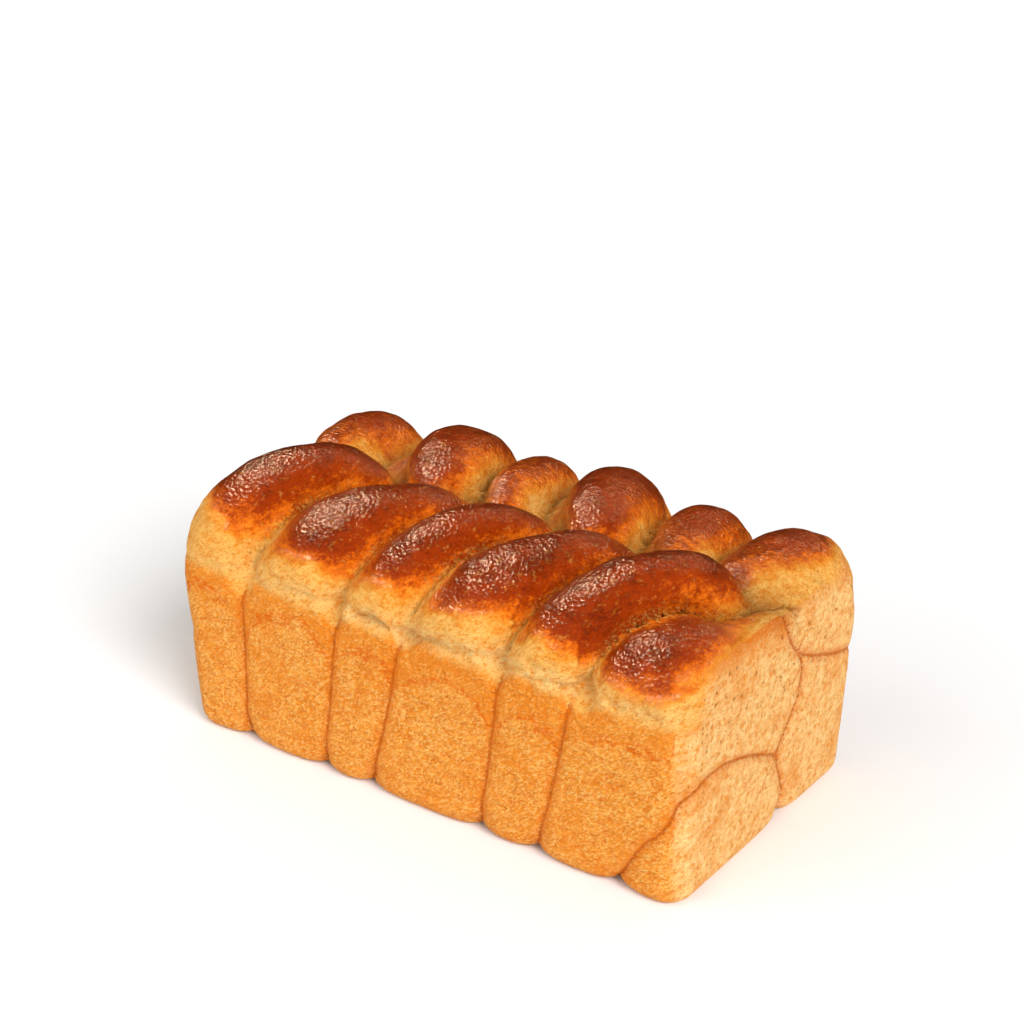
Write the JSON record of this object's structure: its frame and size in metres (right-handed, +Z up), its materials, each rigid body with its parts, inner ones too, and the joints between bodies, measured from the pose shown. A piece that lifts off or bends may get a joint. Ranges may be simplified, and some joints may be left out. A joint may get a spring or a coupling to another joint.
{
  "type": "plaited brioche loaf",
  "caption": "Tin-baked plaited brioche loaf: flat pressed sides below, two rows of domed glazed lobes above.",
  "frame": {"origin": "middle of the flat underside that the loaf rests on", "axes": "+X along the loaf towards the near end, -Y towards the front row of lobes, +Z up"},
  "size_m": [0.19, 0.104, 0.0939],
  "materials": {
    "crust": "satin"
  },
  "bodies": {
    "root": {"brioche_loaf": "crust"}
  },
  "joints": []
}
